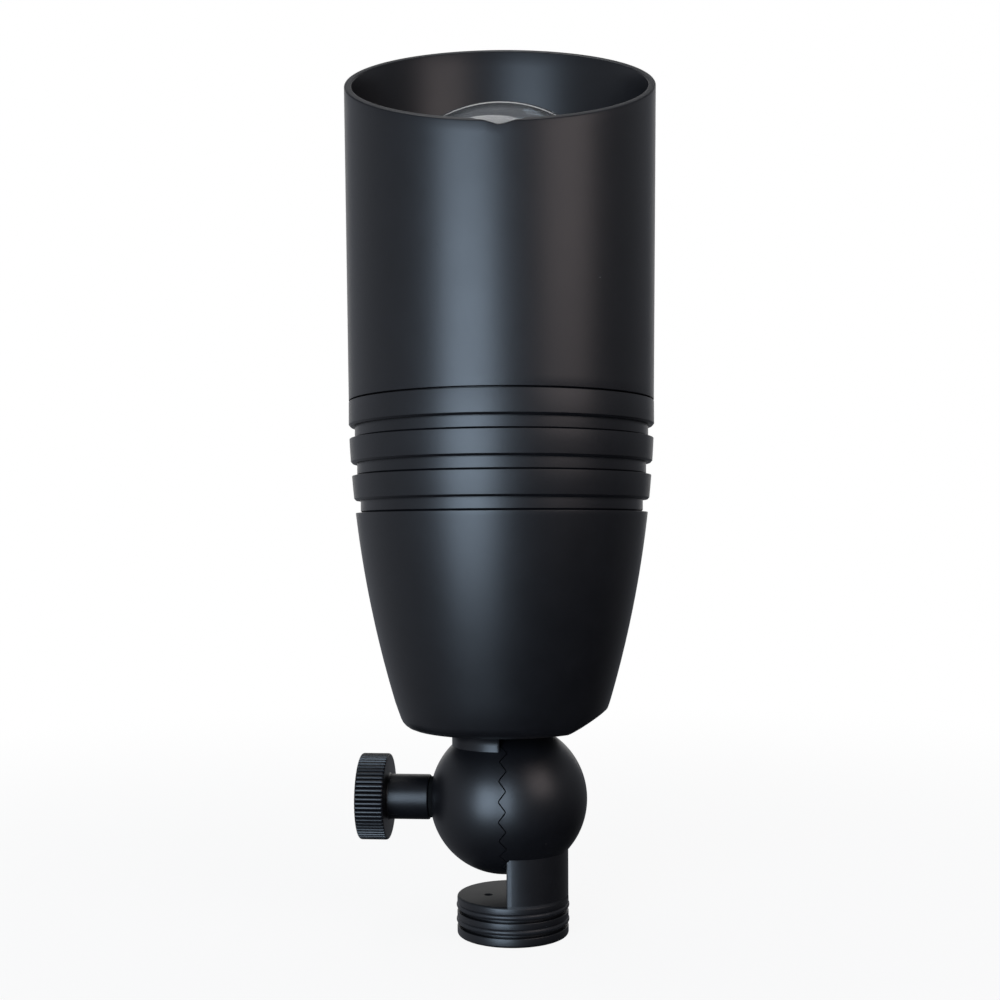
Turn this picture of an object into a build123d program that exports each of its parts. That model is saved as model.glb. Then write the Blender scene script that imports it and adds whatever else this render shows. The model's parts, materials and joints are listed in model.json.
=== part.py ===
"""Landscape spotlight: a plug-in stem, a toothed tilt knuckle and a ringed head with a raked cowl.

The origin is at the foot of the plug, on the plug's axis, with +Z up.
The tilt axis runs along X through the knuckle, and the thumbscrew sits on the -X side.
"""
import math
import os

from build123d import *

# Plug and stem, which go into a stake or a hub
plug_d = 22.8
plug_h = 8.0
plug_edge = 0.5
stem_d = 22.4
seal_section_d = 1.2
seal_drag_gap = 0.4
seal_proud = 0.16
seal_low_h = 2.87
seal_pitch = 2.97
seal_count = 2
fit_gap = 0.03
contact_insert_d = 15.0
contact_insert_h = 6.0
contact_pin_d = 2.0
contact_pin_h = 7.5
contact_pitch = 3.2
lead_d = 1.4

# Knuckle: two half balls with radial teeth, drawn together by the thumbscrew
pivot_h = 27.6
ball_r = 15.3
tooth_count = 24
tooth_h = 1.5
tooth_gap = 0.12
chamber_r = 9.8
chamber_depth = 6.5
hub_r = 5.6
lead_bore_d = 6.0
lead_bore_offset = 5.2
thread_insert_d = 9.0
thread_insert_l = 9.0
thread_gap = 0.05
stud_d = 6.35
stud_turn_gap = 0.08
stud_tip = 0.6
stud_tip_setback = 1.0
neck_d = 21.4
neck_fillet = 3.0
seat_inset = 0.85
release_travel = 2.3

# Thumbscrew
washer_t = 0.9
washer_d = 8.4
collar_d = 9.2
collar_l = 8.5
collar_edge = 0.3
knob_d = 17.6
knob_w = 5.85
knob_edge = 0.45
knurl_count = 60
knurl_depth = 0.42
stud_in_knob = 10.0

# Rear housing: a tapered cup with two cooling rings and a band, cast with the upper half ball
head_offset = 0.3
floor_above_pivot = 14.6
ball_relief_gap = 0.4
cup_h = 43.9
ring_count = 2
ring_h = 5.0
ring_gap = 2.5
ring_groove_depth = 1.15
band_r = 31.15
cup_bulge = 1.77
cup_foot_r = 22.0
cup_foot_h = 5.4
cup_foot_taper = 1.9
foot_fillet = 3.2
bevel_start = 13.7
bevel_deg = 28.0
housing_wall = 3.6
housing_floor = 3.5
ledge_drop = 8.6
ledge_w = 2.0
spigot_h = 9.0
spigot_wall = 2.6
cowl_turn_gap = 0.1
cowl_seal_section_d = 1.78
cowl_seal_groove_w = 2.2
cowl_seal_gap = 0.05
boss_d = 9.0
boss_l = 10.0
boss_inset = 5.95
boss_count = 3

# Cowl: a thin tube, raked at its mouth, with a drain notch in its low lip
cowl_seam = 0.15
cowl_wall = 1.5
cowl_flare_out = 0.90
cowl_low_side_h = 48.42
cowl_rake_deg = 29.0
cowl_lip_turn_deg = 4.55
notch_w = 5.2
notch_depth = 0.95
notch_fillet = 1.2

# Light engine and optics
spreader_t = 4.0
spreader_gap = 0.1
pad_t = 0.4
led_board_gap = 1.2
led_board_t = 1.6
emitter_gap = 2.7
emitter_base_t = 1.0
emitter_rim = 1.5
emitter_dome_t = 0.6
led_screw_inset = 3.5
led_lead_inset = 3.0
led_lead_turn = 45.0
lead_hole_gap = 0.3
solder_h = 0.8
screw_d = 3.0
screw_head_d = 5.6
screw_head_h = 1.8
screw_socket_af = 2.5
screw_socket_depth = 1.1
spreader_screw_grip = 5.0
led_screw_grip = 3.0
barrel_gap = 0.15
barrel_wall = 2.5
barrel_h = 46.6
lens_seat_wall = 1.45
lens_flange_w = 1.1
lens_flange_t = 2.8
lens_dome_h = 15.35
lens_seat_gap = 0.15
lens_rim_proud = 0.4
lens_gasket_t = 0.6
lens_gasket_w = 0.7
retainer_lip_t = 1.5
retainer_lip_gap = 0.25
retainer_skirt_h = 6.0
retainer_wall = 1.4
retainer_cowl_gap = 0.35

# Driver
driver_board_edge = 3.5
driver_board_t = 1.6
standoff_d = 5.0
standoff_l = 22.4
standoff_gap = 1.0
coil_d = 11.0
coil_h = 8.0
capacitor_d = 8.0
capacitor_h = 11.5
chip_l = 9.0
chip_w = 6.0
chip_h = 2.0
terminal_l = 10.0
terminal_w = 5.0
terminal_h = 7.0
part_gap = 2.5
grommet_h = 5.0

os.makedirs("parts", exist_ok=True)

# Heights and places worked out from the sizes above
plug_r = plug_d / 2
stem_r = stem_d / 2
stud_r = stud_d / 2
lead_y = contact_pitch / 2
seal_groove_w = seal_section_d + seal_drag_gap + fit_gap
seal_groove_low_h = seal_low_h - seal_section_d / 2 - seal_drag_gap
root_gap = tooth_h + tooth_gap
upper_x = -root_gap
mesh_x = upper_x / 2
head_x = upper_x - head_offset
stem_bore_x = lead_bore_offset
neck_bore_x = upper_x - lead_bore_offset
seat_x = upper_x - ball_r + seat_inset
collar_x = seat_x - washer_t
knob_x = collar_x - collar_l
head_h = pivot_h + floor_above_pivot
ring_pitch = ring_h + ring_gap
band_low_h = head_h + cup_h + ring_gap + ring_count * ring_pitch
band_top_h = band_low_h + ring_h
cowl_foot_h = band_top_h + cowl_seam
cowl_low_lip_h = cowl_foot_h + cowl_low_side_h
cup_base_r = cup_foot_r - cup_foot_taper
cowl_mouth_r = band_r + cowl_flare_out
cowl_bore_r = band_r - cowl_wall
spigot_r = cowl_bore_r - cowl_turn_gap
spigot_bore_r = spigot_r - spigot_wall
spigot_top_h = band_top_h + spigot_h
spreader_h = band_top_h - ledge_drop
spreader_top_h = spreader_h + spreader_t
led_board_h = spreader_top_h + pad_t
led_top_h = led_board_h + led_board_t
barrel_seat_h = spreader_top_h + barrel_h
lens_h = barrel_seat_h + lens_gasket_t
lens_rim_h = lens_h + lens_flange_t
lens_apex_h = lens_rim_h + lens_dome_h
barrel_top_h = lens_rim_h - lens_rim_proud
barrel_d = 2 * (spigot_bore_r - barrel_gap)
barrel_bore_d = barrel_d - 2 * barrel_wall
lens_d = barrel_d - 2 * (lens_seat_wall + lens_seat_gap)
lens_dome_d = lens_d - 2 * lens_flange_w
boss_pcd = 2 * (spigot_bore_r - boss_inset)
led_board_d = boss_pcd - screw_head_d - 2 * led_board_gap
led_screw_pcd = led_board_d - 2 * led_screw_inset
led_lead_pcd = led_board_d - 2 * led_lead_inset
emitter_side = led_screw_pcd - screw_head_d - 2 * emitter_gap
emitter_d = emitter_side - 2 * emitter_rim
standoff_pitch = boss_pcd - boss_d - standoff_d - 2 * standoff_gap
driver_board_d = standoff_pitch + standoff_d + 2 * driver_board_edge
part_pitch = (coil_d + capacitor_d) / 2 + part_gap
driver_top_h = spreader_h - standoff_l
driver_h = driver_top_h - driver_board_t
cowl_seal_h = band_top_h + spigot_h / 2
cowl_seal_r = cowl_bore_r - cowl_seal_gap - cowl_seal_section_d / 2
lens_dome_r = ((lens_dome_d / 2) ** 2 + lens_dome_h**2) / (2 * lens_dome_h)

# The cowl's wall flares evenly, so its height follows from where the rake cuts both sides
rake_rise = math.tan(math.radians(cowl_rake_deg))
level_h = cowl_low_side_h + (band_r + cowl_mouth_r) * rake_rise
flare_area = cowl_flare_out * cowl_low_side_h * rake_rise
cowl_h = (level_h + math.sqrt(level_h**2 + 4 * flare_area)) / 2
cowl_top_h = cowl_foot_h + cowl_h
cowl_flare = cowl_flare_out / cowl_h
cowl_lip_r = band_r + cowl_flare * cowl_low_side_h
retainer_r = cowl_bore_r + cowl_flare * (lens_rim_h - cowl_foot_h) - retainer_cowl_gap

# Working planes and axes: the tilt axis, and the head's own axis and section
tilt_axis = Axis((0, 0, pivot_h), (1, 0, 0))
head_axis = Axis((head_x, 0, 0), (0, 0, 1))
base_section = Plane.XZ
head_section = Plane(origin=(head_x, 0, 0), x_dir=(1, 0, 0), z_dir=(0, -1, 0))
lower_half_section = Plane(origin=(0, 0, pivot_h), x_dir=(1, 0, 0), z_dir=(0, -1, 0))
upper_half_section = Plane(origin=(upper_x, 0, pivot_h), x_dir=(1, 0, 0), z_dir=(0, -1, 0))
rake_normal = (0, -math.sin(math.radians(cowl_rake_deg)), math.cos(math.radians(cowl_rake_deg)))
rake_plane = Plane(origin=(head_x, -cowl_lip_r, cowl_low_lip_h), x_dir=(1, 0, 0), z_dir=rake_normal)

# The cup's wall in section: its two ends, and the top of the bulge between them
cup_low = Vector(cup_foot_r, head_h + cup_foot_h)
cup_high = Vector(band_r, band_low_h)
cup_chord = cup_high - cup_low
cup_outward = Vector(cup_chord.Y, -cup_chord.X).normalized()
cup_middle = cup_low + cup_chord * 0.5 + cup_outward * cup_bulge

# Teeth: each flank plane passes through one point on the tilt axis, so the two crowns
# match again at every whole tooth pitch
tooth_pitch = 360 / tooth_count
tooth_slope = tooth_h / 2 / ball_r


def across_tilt_axis(x):
    """The plane square to the tilt axis at x, facing +X."""
    return Plane(origin=(x, 0, pivot_h), x_dir=(0, 1, 0), z_dir=(1, 0, 0))


def at_head(height):
    """The level plane on the head's axis at this height."""
    return Plane(origin=(head_x, 0, height), x_dir=(1, 0, 0), z_dir=(0, 0, 1))


def tooth_valley(side, degrees):
    """The plane across one valley of the crown whose metal lies on this side of X."""
    angle = math.radians(degrees)
    along = (side * tooth_slope, math.sin(angle), math.cos(angle))
    across = (0, math.cos(angle), -math.sin(angle))
    return Plane(origin=(mesh_x + side * tooth_gap / 2, 0, pivot_h), x_dir=across, z_dir=along)


def tooth_valley_outline(side):
    """The V of one valley: its point lies on the valley line and its flanks meet the tips."""
    half_pitch = math.radians(tooth_pitch / 2)
    steepness = tooth_slope * (1 + math.cos(half_pitch)) / math.sin(half_pitch)
    half_width = 2 * tooth_h
    opening = side * steepness * half_width
    return [(0, 0), (half_width, opening), (-half_width, opening)]


def half_ball_outline(side):
    """Half of a round section: a quarter circle with a rim that holds the teeth."""
    rim_x = -side * (root_gap - tooth_gap / 2)
    with BuildLine() as outline:
        Line((0, 0), (0, chamber_r))
        Line((0, chamber_r), (rim_x, chamber_r))
        Line((rim_x, chamber_r), (rim_x, ball_r))
        Line((rim_x, ball_r), (0, ball_r))
        ThreePointArc(
            (0, ball_r),
            (side * ball_r * math.sin(math.pi / 4), ball_r * math.cos(math.pi / 4)),
            (side * ball_r, 0),
        )
        Line((side * ball_r, 0), (0, 0))
    return outline.line


def cup_radius(height):
    """The outer radius of the cup's arc at this height."""
    cup_arc = Edge.make_three_point_arc(cup_low, cup_middle, cup_high)
    centre = cup_arc.arc_center
    return centre.X + math.sqrt(cup_arc.radius**2 - (height - centre.Y) ** 2)


# Lower knuckle: half ball, half-round stem and plug in one casting
with BuildPart() as lower_knuckle:
    with BuildSketch(lower_half_section):
        make_face(half_ball_outline(1))
    revolve(axis=tilt_axis)
    with BuildSketch(Plane.XY.offset(plug_h)):
        Circle(stem_r)
        Rectangle(stem_r, stem_d, align=(Align.MIN, Align.CENTER), mode=Mode.INTERSECT)
    extrude(amount=pivot_h - plug_h)
    with BuildSketch(Plane.XY):
        Circle(plug_r)
    extrude(amount=plug_h)
    chamfer(lower_knuckle.faces().sort_by(Axis.Z)[0].edges(), plug_edge)
    for step in range(seal_count):
        with BuildSketch(Plane.XY.offset(seal_groove_low_h + step * seal_pitch)):
            Circle(plug_r)
            Circle(plug_r + seal_proud - seal_section_d, mode=Mode.SUBTRACT)
        extrude(amount=seal_groove_w, mode=Mode.SUBTRACT)
    with BuildSketch(across_tilt_axis(0)):
        Circle(chamber_r)
        Circle(hub_r, mode=Mode.SUBTRACT)
    extrude(amount=chamber_depth, mode=Mode.SUBTRACT)
    with BuildSketch(across_tilt_axis(0)):
        Circle(thread_insert_d / 2 + fit_gap)
    extrude(amount=thread_insert_l, mode=Mode.SUBTRACT)
    with BuildSketch(Plane.XY):
        Circle(contact_insert_d / 2 + fit_gap)
    extrude(amount=contact_insert_h, mode=Mode.SUBTRACT)
    with BuildSketch(Plane.XY.offset(contact_insert_h)):
        with Locations((stem_bore_x, 0)):
            Circle(lead_bore_d / 2)
    extrude(amount=pivot_h - hub_r - contact_insert_h, mode=Mode.SUBTRACT)
    for tooth in range(tooth_count):
        with BuildSketch(tooth_valley(1, tooth * tooth_pitch)):
            Polygon(*tooth_valley_outline(1), align=None)
        extrude(amount=ball_r + tooth_gap, mode=Mode.SUBTRACT)
lower_knuckle.part.label = "lower_knuckle"
export_step(lower_knuckle.part, "parts/lower_knuckle.step")

# Two rubber rings that seal the plug in its socket
with BuildPart() as plug_seals:
    for step in range(seal_count):
        with BuildSketch(base_section):
            with Locations((plug_r + seal_proud - seal_section_d / 2, seal_low_h + step * seal_pitch)):
                Circle(seal_section_d / 2)
        revolve(axis=Axis.Z)
plug_seals.part.label = "plug_seals"
export_step(plug_seals.part, "parts/plug_seals.step")

# Insulating insert in the foot of the plug, with its two contact pins
with BuildPart() as contact_insert:
    with BuildSketch(Plane.XY):
        Circle(contact_insert_d / 2)
        with Locations((stem_bore_x, lead_y), (stem_bore_x, -lead_y)):
            Circle(contact_pin_d / 2 + fit_gap, mode=Mode.SUBTRACT)
    extrude(amount=contact_insert_h)
contact_insert.part.label = "contact_insert"
export_step(contact_insert.part, "parts/contact_insert.step")

with BuildPart() as contact_pins:
    with BuildSketch(Plane.XY):
        with Locations((stem_bore_x, lead_y), (stem_bore_x, -lead_y)):
            Circle(contact_pin_d / 2)
    extrude(amount=contact_pin_h)
contact_pins.part.label = "contact_pins"
export_step(contact_pins.part, "parts/contact_pins.step")

# Two leads from the pins up the stem into the knuckle's chamber
with BuildPart() as base_leads:
    with BuildSketch(Plane.XY.offset(contact_pin_h)):
        with Locations((stem_bore_x, lead_y), (stem_bore_x, -lead_y)):
            Circle(lead_d / 2)
    extrude(amount=pivot_h - hub_r - lead_d - contact_pin_h)
base_leads.part.label = "base_leads"
export_step(base_leads.part, "parts/base_leads.step")

# Brass thread insert in the lower half ball
with BuildPart() as thread_insert:
    with BuildSketch(across_tilt_axis(0)):
        Circle(thread_insert_d / 2)
        Circle(stud_r + thread_gap, mode=Mode.SUBTRACT)
    extrude(amount=thread_insert_l)
thread_insert.part.label = "thread_insert"
export_step(thread_insert.part, "parts/thread_insert.step")

# Thumbscrew: knurled knob with its collar, and the stud fixed in it
with BuildPart() as thumbscrew_knob:
    with BuildSketch(across_tilt_axis(knob_x)):
        Circle(knob_d / 2)
    extrude(amount=-knob_w)
    chamfer(thumbscrew_knob.edges().filter_by(GeomType.CIRCLE), knob_edge)
    with BuildSketch(across_tilt_axis(knob_x)):
        with PolarLocations(knob_d / 2 - knurl_depth, knurl_count):
            Polygon((0, 0), (2 * knurl_depth, knurl_depth), (2 * knurl_depth, -knurl_depth), align=None)
    extrude(amount=-knob_w, mode=Mode.SUBTRACT)
    with BuildSketch(across_tilt_axis(knob_x)):
        Circle(collar_d / 2)
    extrude(amount=collar_l)
    chamfer(thumbscrew_knob.faces().sort_by(Axis.X)[-1].edges(), collar_edge)
    with BuildSketch(across_tilt_axis(collar_x)):
        Circle(stud_r + fit_gap)
    extrude(amount=-stud_in_knob, mode=Mode.SUBTRACT)
thumbscrew_knob.part.label = "thumbscrew_knob"
export_step(thumbscrew_knob.part, "parts/thumbscrew_knob.step")

with BuildPart() as thumbscrew_stud:
    with BuildSketch(across_tilt_axis(collar_x - stud_in_knob)):
        Circle(stud_r)
    extrude(amount=stud_in_knob - collar_x + thread_insert_l - stud_tip_setback)
    chamfer(thumbscrew_stud.faces().sort_by(Axis.X)[-1].edges(), stud_tip)
thumbscrew_stud.part.label = "thumbscrew_stud"
export_step(thumbscrew_stud.part, "parts/thumbscrew_stud.step")

# Rubber washer between the collar and its flat seat on the upper half ball
with BuildPart() as clamp_washer:
    with BuildSketch(across_tilt_axis(collar_x)):
        Circle(washer_d / 2)
        Circle(stud_r + stud_turn_gap, mode=Mode.SUBTRACT)
    extrude(amount=washer_t)
clamp_washer.part.label = "clamp_washer"
export_step(clamp_washer.part, "parts/clamp_washer.step")

# Rear housing: the outer form and its relief for the lower half ball come first, then the
# upper half ball on its neck, and last every hollow
with BuildPart() as rear_housing:
    with BuildSketch(head_section):
        with BuildLine():
            Line((0, head_h), (cup_base_r, head_h))
            Line((cup_base_r, head_h), cup_low)
            ThreePointArc(cup_low, cup_middle, cup_high)
            Line(cup_high, (band_r, band_top_h))
            Line((band_r, band_top_h), (spigot_r, band_top_h))
            Line((spigot_r, band_top_h), (spigot_r, spigot_top_h))
            Line((spigot_r, spigot_top_h), (0, spigot_top_h))
            Line((0, spigot_top_h), (0, head_h))
        cup_face = make_face()
        foot_corner = cup_face.vertices().sort_by_distance((cup_base_r, head_h))[0]
        fillet(foot_corner, foot_fillet)
    revolve(axis=head_axis)
    for step in range(ring_count + 1):
        groove_h = head_h + cup_h + step * ring_pitch
        with BuildSketch(at_head(groove_h)):
            Circle(band_r + ring_groove_depth)
            Circle(cup_radius(groove_h + ring_gap / 2) - ring_groove_depth, mode=Mode.SUBTRACT)
        extrude(amount=ring_gap, mode=Mode.SUBTRACT)
    with BuildSketch(head_section):
        Polygon(
            (bevel_start, head_h),
            (band_r, head_h + (band_r - bevel_start) * math.tan(math.radians(bevel_deg))),
            (band_r, head_h),
            align=None,
        )
    extrude(amount=band_r, both=True, mode=Mode.SUBTRACT)
    with Locations((0, 0, pivot_h), (release_travel, 0, pivot_h)):
        Sphere(ball_r + ball_relief_gap, mode=Mode.SUBTRACT)
    with BuildSketch(across_tilt_axis(0)):
        Circle(ball_r + ball_relief_gap)
    extrude(amount=release_travel, mode=Mode.SUBTRACT)
    with BuildSketch(upper_half_section):
        make_face(half_ball_outline(-1))
    revolve(axis=tilt_axis)
    with BuildSketch(Plane((upper_x, 0, pivot_h))):
        Circle(neck_d / 2)
        Rectangle(neck_d / 2, neck_d, align=(Align.MAX, Align.CENTER), mode=Mode.INTERSECT)
    extrude(amount=floor_above_pivot + housing_floor)
    neck_joint_h = pivot_h + math.sqrt(ball_r**2 - (neck_d / 2) ** 2)
    neck_joint = edges().sort_by_distance((upper_x - neck_d / 2, 0, neck_joint_h))[0]
    fillet(neck_joint, neck_fillet)
    with BuildSketch(head_section):
        with BuildLine():
            Line((0, head_h + housing_floor), (cup_base_r - housing_wall, head_h + housing_floor))
            Line(
                (cup_base_r - housing_wall, head_h + housing_floor),
                (cup_foot_r - housing_wall, head_h + housing_floor + cup_foot_h),
            )
            ThreePointArc(
                (cup_foot_r - housing_wall, head_h + housing_floor + cup_foot_h),
                (cup_middle.X - housing_wall, cup_middle.Y),
                (spigot_bore_r - ledge_w, spreader_h),
            )
            Line((spigot_bore_r - ledge_w, spreader_h), (spigot_bore_r, spreader_h))
            Line((spigot_bore_r, spreader_h), (spigot_bore_r, spigot_top_h))
            Line((spigot_bore_r, spigot_top_h), (0, spigot_top_h))
            Line((0, spigot_top_h), (0, head_h + housing_floor))
        make_face()
    revolve(axis=head_axis, mode=Mode.SUBTRACT)
    with BuildSketch(at_head(spreader_h)):
        with PolarLocations(boss_pcd / 2, boss_count):
            Circle(boss_d / 2)
    extrude(amount=-boss_l)
    with BuildSketch(at_head(spreader_h)):
        with PolarLocations(boss_pcd / 2, boss_count):
            Circle(screw_d / 2 + fit_gap)
    extrude(amount=-boss_l, mode=Mode.SUBTRACT)
    with BuildSketch(at_head(cowl_seal_h - cowl_seal_groove_w / 2)):
        Circle(spigot_r)
        Circle(cowl_seal_r - cowl_seal_section_d / 2, mode=Mode.SUBTRACT)
    extrude(amount=cowl_seal_groove_w, mode=Mode.SUBTRACT)
    with BuildSketch(across_tilt_axis(upper_x)):
        Circle(chamber_r)
        Circle(hub_r, mode=Mode.SUBTRACT)
    extrude(amount=-chamber_depth, mode=Mode.SUBTRACT)
    with BuildSketch(across_tilt_axis(upper_x)):
        Circle(stud_r + stud_turn_gap)
    extrude(amount=-ball_r, mode=Mode.SUBTRACT)
    with BuildSketch(across_tilt_axis(seat_x)):
        Circle(hub_r)
    extrude(amount=-seat_inset, mode=Mode.SUBTRACT)
    with BuildSketch(Plane.XY.offset(pivot_h + hub_r)):
        with Locations((neck_bore_x, 0)):
            Circle(lead_bore_d / 2)
    extrude(amount=head_h + housing_floor - pivot_h - hub_r, mode=Mode.SUBTRACT)
    for tooth in range(tooth_count):
        with BuildSketch(tooth_valley(-1, (tooth + 0.5) * tooth_pitch)):
            Polygon(*tooth_valley_outline(-1), align=None)
        extrude(amount=ball_r + tooth_gap, mode=Mode.SUBTRACT)
rear_housing.part.label = "rear_housing"
export_step(rear_housing.part, "parts/rear_housing.step")

# Rubber grommet in the neck, and the two leads that run through it to the driver
with BuildPart() as lead_grommet:
    with BuildSketch(Plane.XY.offset(head_h + housing_floor - grommet_h)):
        with Locations((neck_bore_x, 0)):
            Circle(lead_bore_d / 2 - fit_gap)
        with Locations((neck_bore_x, lead_y), (neck_bore_x, -lead_y)):
            Circle(lead_d / 2 + fit_gap, mode=Mode.SUBTRACT)
    extrude(amount=grommet_h)
lead_grommet.part.label = "lead_grommet"
export_step(lead_grommet.part, "parts/lead_grommet.step")

with BuildPart() as head_leads:
    with BuildSketch(Plane.XY.offset(pivot_h + hub_r + lead_d)):
        with Locations((neck_bore_x, lead_y), (neck_bore_x, -lead_y)):
            Circle(lead_d / 2)
    extrude(amount=driver_h - pivot_h - hub_r - lead_d)
head_leads.part.label = "head_leads"
export_step(head_leads.part, "parts/head_leads.step")

# Driver: round board on two posts under the heat spreader, with the parts that stand on it
with BuildPart() as driver_board:
    with BuildSketch(at_head(driver_h)):
        Circle(driver_board_d / 2)
    extrude(amount=driver_board_t)
driver_board.part.label = "driver_board"
export_step(driver_board.part, "parts/driver_board.step")

with BuildPart() as driver_posts:
    with BuildSketch(at_head(driver_top_h)):
        with GridLocations(standoff_pitch, 0, 2, 1):
            RegularPolygon(standoff_d / 2, 6)
    extrude(amount=standoff_l)
driver_posts.part.label = "driver_posts"
export_step(driver_posts.part, "parts/driver_posts.step")

with BuildPart() as driver_parts:
    with BuildSketch(at_head(driver_top_h)):
        Circle(coil_d / 2)
    extrude(amount=coil_h)
    with BuildSketch(at_head(driver_top_h)):
        with Locations((0, part_pitch)):
            Circle(capacitor_d / 2)
    extrude(amount=capacitor_h)
    with BuildSketch(at_head(driver_top_h)):
        with Locations((0, -part_pitch)):
            Rectangle(terminal_l, terminal_w)
    extrude(amount=terminal_h)
    with BuildSketch(at_head(driver_h)):
        with Locations((part_pitch, 0)):
            Rectangle(chip_w, chip_l)
    extrude(amount=-chip_h)
driver_parts.part.label = "driver_parts"
export_step(driver_parts.part, "parts/driver_parts.step")

# Heat spreader: the plate that carries the light engine, screwed to the housing's bosses
with BuildPart() as heat_spreader:
    with BuildSketch(at_head(spreader_h)):
        Circle(spigot_bore_r - spreader_gap)
        with PolarLocations(boss_pcd / 2, boss_count):
            Circle(screw_d / 2 + fit_gap, mode=Mode.SUBTRACT)
        with GridLocations(led_screw_pcd, 0, 2, 1):
            Circle(screw_d / 2 + fit_gap, mode=Mode.SUBTRACT)
        with PolarLocations(led_lead_pcd / 2, 2, led_lead_turn):
            Circle(lead_d / 2 + lead_hole_gap, mode=Mode.SUBTRACT)
    extrude(amount=spreader_t)
heat_spreader.part.label = "heat_spreader"
export_step(heat_spreader.part, "parts/heat_spreader.step")

with BuildPart() as spreader_screws:
    with BuildSketch(at_head(spreader_top_h - spreader_t - spreader_screw_grip)):
        with PolarLocations(boss_pcd / 2, boss_count):
            Circle(screw_d / 2)
    extrude(amount=spreader_t + spreader_screw_grip)
    with BuildSketch(at_head(spreader_top_h)):
        with PolarLocations(boss_pcd / 2, boss_count):
            Circle(screw_head_d / 2)
    extrude(amount=screw_head_h)
    with BuildSketch(at_head(spreader_top_h + screw_head_h)):
        with PolarLocations(boss_pcd / 2, boss_count):
            RegularPolygon(screw_socket_af / 2, 6, major_radius=False)
    extrude(amount=-screw_socket_depth, mode=Mode.SUBTRACT)
spreader_screws.part.label = "spreader_screws"
export_step(spreader_screws.part, "parts/spreader_screws.step")

# Light engine: thermal pad, aluminium-backed board and the emitter
with BuildPart() as thermal_pad:
    with BuildSketch(at_head(spreader_top_h)):
        Circle(led_board_d / 2)
        with GridLocations(led_screw_pcd, 0, 2, 1):
            Circle(screw_d / 2 + fit_gap, mode=Mode.SUBTRACT)
        with PolarLocations(led_lead_pcd / 2, 2, led_lead_turn):
            Circle(lead_d / 2 + lead_hole_gap, mode=Mode.SUBTRACT)
    extrude(amount=pad_t)
thermal_pad.part.label = "thermal_pad"
export_step(thermal_pad.part, "parts/thermal_pad.step")

with BuildPart() as led_board:
    with BuildSketch(at_head(led_board_h)):
        Circle(led_board_d / 2)
        with GridLocations(led_screw_pcd, 0, 2, 1):
            Circle(screw_d / 2 + fit_gap, mode=Mode.SUBTRACT)
        with PolarLocations(led_lead_pcd / 2, 2, led_lead_turn):
            Circle(lead_d / 2 + fit_gap, mode=Mode.SUBTRACT)
    extrude(amount=led_board_t)
led_board.part.label = "led_board"
export_step(led_board.part, "parts/led_board.step")

with BuildPart() as led_emitter:
    with BuildSketch(at_head(led_top_h)):
        Rectangle(emitter_side, emitter_side)
    extrude(amount=emitter_base_t)
    with BuildSketch(at_head(led_top_h + emitter_base_t)):
        Circle(emitter_d / 2)
    extrude(amount=emitter_dome_t)
led_emitter.part.label = "led_emitter"
export_step(led_emitter.part, "parts/led_emitter.step")

with BuildPart() as led_screws:
    with BuildSketch(at_head(led_top_h)):
        with GridLocations(led_screw_pcd, 0, 2, 1):
            Circle(screw_d / 2)
    extrude(amount=-(led_board_t + pad_t + led_screw_grip))
    with BuildSketch(at_head(led_top_h)):
        with GridLocations(led_screw_pcd, 0, 2, 1):
            Circle(screw_head_d / 2)
    extrude(amount=screw_head_h)
    with BuildSketch(at_head(led_top_h + screw_head_h)):
        with GridLocations(led_screw_pcd, 0, 2, 1):
            RegularPolygon(screw_socket_af / 2, 6, major_radius=False)
    extrude(amount=-screw_socket_depth, mode=Mode.SUBTRACT)
led_screws.part.label = "led_screws"
export_step(led_screws.part, "parts/led_screws.step")

with BuildPart() as led_leads:
    with BuildSketch(at_head(driver_top_h)):
        with PolarLocations(led_lead_pcd / 2, 2, led_lead_turn):
            Circle(lead_d / 2)
    extrude(amount=led_top_h + solder_h - driver_top_h)
led_leads.part.label = "led_leads"
export_step(led_leads.part, "parts/led_leads.step")

# Lens barrel, and the domed lens clamped in it on a gasket by a screwed-on ring
with BuildPart() as lens_barrel:
    with BuildSketch(at_head(spreader_top_h)):
        Circle(barrel_d / 2)
        Circle(barrel_bore_d / 2, mode=Mode.SUBTRACT)
    extrude(amount=barrel_top_h - spreader_top_h)
    with BuildSketch(at_head(barrel_seat_h)):
        Circle(lens_d / 2 + lens_seat_gap)
    extrude(amount=barrel_top_h - barrel_seat_h, mode=Mode.SUBTRACT)
lens_barrel.part.label = "lens_barrel"
export_step(lens_barrel.part, "parts/lens_barrel.step")

with BuildPart() as lens_gasket:
    with BuildSketch(at_head(barrel_seat_h)):
        Circle(lens_d / 2)
        Circle(lens_d / 2 - lens_gasket_w, mode=Mode.SUBTRACT)
    extrude(amount=lens_gasket_t)
lens_gasket.part.label = "lens_gasket"
export_step(lens_gasket.part, "parts/lens_gasket.step")

with BuildPart() as lens:
    with BuildSketch(head_section):
        with BuildLine():
            Line((0, lens_h), (lens_d / 2, lens_h))
            Line((lens_d / 2, lens_h), (lens_d / 2, lens_rim_h))
            Line((lens_d / 2, lens_rim_h), (lens_dome_d / 2, lens_rim_h))
            RadiusArc((lens_dome_d / 2, lens_rim_h), (0, lens_apex_h), -lens_dome_r)
            Line((0, lens_apex_h), (0, lens_h))
        make_face()
    revolve(axis=head_axis)
lens.part.label = "lens"
export_step(lens.part, "parts/lens.step")

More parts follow.
